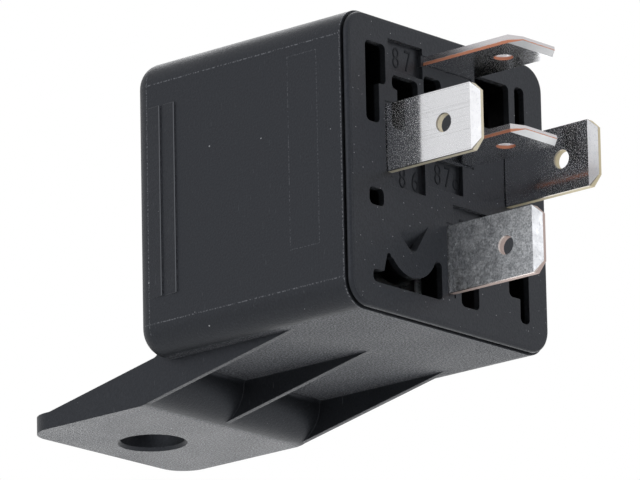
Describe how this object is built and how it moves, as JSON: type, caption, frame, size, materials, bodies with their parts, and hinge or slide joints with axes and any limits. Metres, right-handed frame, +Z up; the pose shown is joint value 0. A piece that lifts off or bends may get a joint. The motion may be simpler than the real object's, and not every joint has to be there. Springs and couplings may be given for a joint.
{
  "type": "automotive relay",
  "caption": "Square black plug-in changeover relay with flat blade terminals on its base and a ribbed mounting bracket with one hole, moulded in one with the cover.",
  "frame": {"origin": "centre of the bracket's hole, on the underside of the bracket's plate", "axes": "+X along the blade terminals, away from the bracket; +Z up from the plate, through the fixing hole, towards the relay's top; +Y across, from terminal 86 to terminal 85"},
  "size_m": [0.0541, 0.0282, 0.0318],
  "materials": {
    "cover_plastic": "black moulded plastic, fine satin texture",
    "base_plastic": "black moulded plastic, satin",
    "tinned_copper": "copper strip, tin plated, satin, cut edges bare",
    "tinned_brass": "brass strip, tin plated, satin, cut edges bare",
    "plated_iron": "soft iron, zinc plated, satin",
    "bobbin_plastic": "natural nylon, moulded",
    "enamelled_copper": "enamelled copper wire",
    "rivet_steel": "plated rivet, satin",
    "spring_copper": "spring copper alloy, rolled",
    "contact_silver": "silver alloy, satin",
    "resistor_coat": "blue lacquer",
    "tinned_wire": "tinned copper wire"
  },
  "bodies": {
    "relay": {"cover": "cover_plastic", "base": "base_plastic", "terminal_30": "tinned_copper", "terminal_85": "tinned_brass", "terminal_86": "tinned_brass", "terminal_87": "tinned_copper", "terminal_87a": "tinned_copper", "yoke": "plated_iron", "core": "plated_iron", "bobbin": "bobbin_plastic", "coil_winding": "enamelled_copper", "coil_leads": "enamelled_copper", "terminal_rivet": "rivet_steel", "yoke_rivets": "rivet_steel", "make_contact": "contact_silver", "break_contact": "contact_silver", "resistor_body": "resistor_coat", "resistor_leads": "tinned_wire"},
    "armature": {"armature": "plated_iron", "contact_spring": "spring_copper", "armature_rivets": "rivet_steel", "moving_contact": "contact_silver"}
  },
  "joints": [
    {"name": "armature_pull", "type": "hinge", "parent": "relay", "child": "armature", "pos_m": [0.01707, 0, 0.00605], "axis": [0, 1, 0], "range_deg": [0, 2.6], "stiffness_Nm_per_rad": 0.01, "springref_deg": -9.74, "deforming": ["contact_spring"]}
  ]
}
